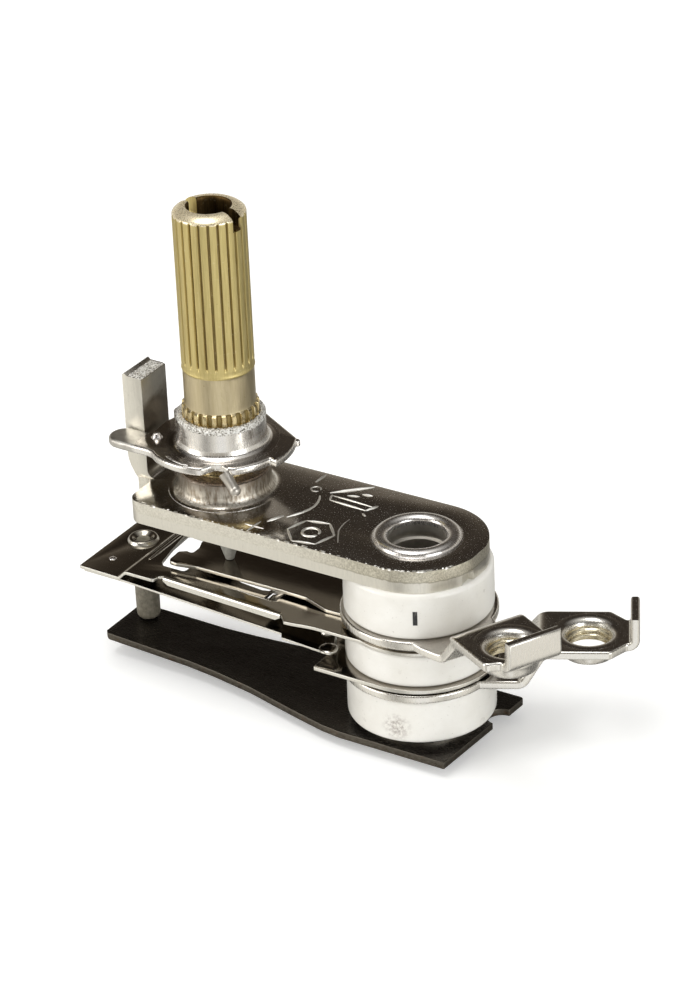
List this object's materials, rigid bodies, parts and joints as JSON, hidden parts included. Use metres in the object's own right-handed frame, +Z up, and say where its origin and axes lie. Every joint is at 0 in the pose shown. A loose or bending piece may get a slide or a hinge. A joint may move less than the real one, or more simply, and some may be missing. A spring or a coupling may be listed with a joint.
{
  "type": "adjustable bimetal thermostat",
  "caption": "Adjustable snap-action bimetal thermostat: splined control shaft with stop disc on a bent bracket, ceramic-insulated contact stack and screw terminals.",
  "frame": {"origin": "axis of the hollow mounting rivet, at the top face of the bracket plate", "axes": "+Z up along the mounting rivet and the control shaft; +X along the bracket from the control shaft to the screw terminals; +Y across it"},
  "size_m": [0.0474, 0.0206, 0.0435],
  "materials": {
    "bright_nickel": "bright nickel plate over pressed steel, speckled along the sheared edges",
    "brass_turned": "turned brass, satin between the splines",
    "ceramic_tip": "matt grey ceramic",
    "steatite": "cream-white, soft gloss, faint specks",
    "spring_steel": "bright rolled spring strip",
    "terminal_nickel": "nickel-plated brass, bright sheared edges",
    "silver_contact": "silver contact rivet",
    "bimetal_dark": "dark oxidised bimetal, brown tint on the edges",
    "pin_ceramic": "matt grey-cream ceramic"
  },
  "bodies": {
    "stack": {"mounting_bracket": "bright_nickel", "hollow_rivet": "bright_nickel", "rivet_washer": "bright_nickel", "stack_spacer": "bright_nickel", "contact_shim": "spring_steel", "top_insulator": "steatite", "middle_insulator": "steatite", "bottom_insulator": "steatite", "insulating_sleeve": "steatite", "upper_terminal": "terminal_nickel", "lower_terminal": "terminal_nickel", "adjusting_arm_root": "spring_steel", "carrier_arm_root": "spring_steel", "fixed_contact_blade": "spring_steel", "fixed_contact": "silver_contact", "bimetal_root": "bimetal_dark"},
    "shaft_lift": {"shaft_tip_bead": "ceramic_tip"},
    "shaft": {"control_shaft": "brass_turned", "stop_disc": "bright_nickel"},
    "adjusting_arm": {"adjusting_arm": "spring_steel"},
    "carrier": {"carrier_arm": "spring_steel", "contact_leaf_foot": "spring_steel", "push_pin": "pin_ceramic", "pin_ferrule": "bright_nickel"},
    "contact_leaf": {"contact_leaf": "spring_steel", "moving_contact": "silver_contact"},
    "bimetal": {"bimetal_strip": "bimetal_dark"}
  },
  "joints": [
    {"name": "shaft_rise", "type": "slide", "parent": "stack", "child": "shaft_lift", "axis": [0, 0, 1], "range_m": [0, 0.000666]},
    {"name": "shaft_turn", "type": "hinge", "parent": "shaft_lift", "child": "shaft", "pos_m": [-0.0185, 0, 0], "axis": [0, 0, 1], "range_deg": [0, 300]},
    {"name": "arm_flex", "type": "hinge", "parent": "stack", "child": "adjusting_arm", "pos_m": [-0.00628, 0, -0.00711], "axis": [0, 1, 0], "range_deg": [0, 3.2]},
    {"name": "carrier_flex", "type": "hinge", "parent": "stack", "child": "carrier", "pos_m": [-0.00628, 0, -0.00745], "axis": [0, 1, 0], "range_deg": [0, 0.9]},
    {"name": "contact_snap", "type": "hinge", "parent": "carrier", "child": "contact_leaf", "pos_m": [-0.026, 0, -0.0087], "axis": [0, -1, 0], "range_deg": [0, 1.5]},
    {"name": "bimetal_flex", "type": "hinge", "parent": "stack", "child": "bimetal", "pos_m": [-0.00628, 0, -0.01692], "axis": [0, 1, 0], "range_deg": [0, 0.9], "stiffness_Nm_per_rad": 0.05}
  ],
  "couplings": [
    {"joint": "shaft_turn", "follows": "shaft_rise", "rad_per_m": 7854},
    {"joint": "arm_flex", "follows": "shaft_rise", "rad_per_m": 81.833},
    {"joint": "carrier_flex", "follows": "bimetal_flex", "ratio": 1},
    {"joint": "contact_snap", "follows": "bimetal_flex", "ratio": 1.65}
  ]
}
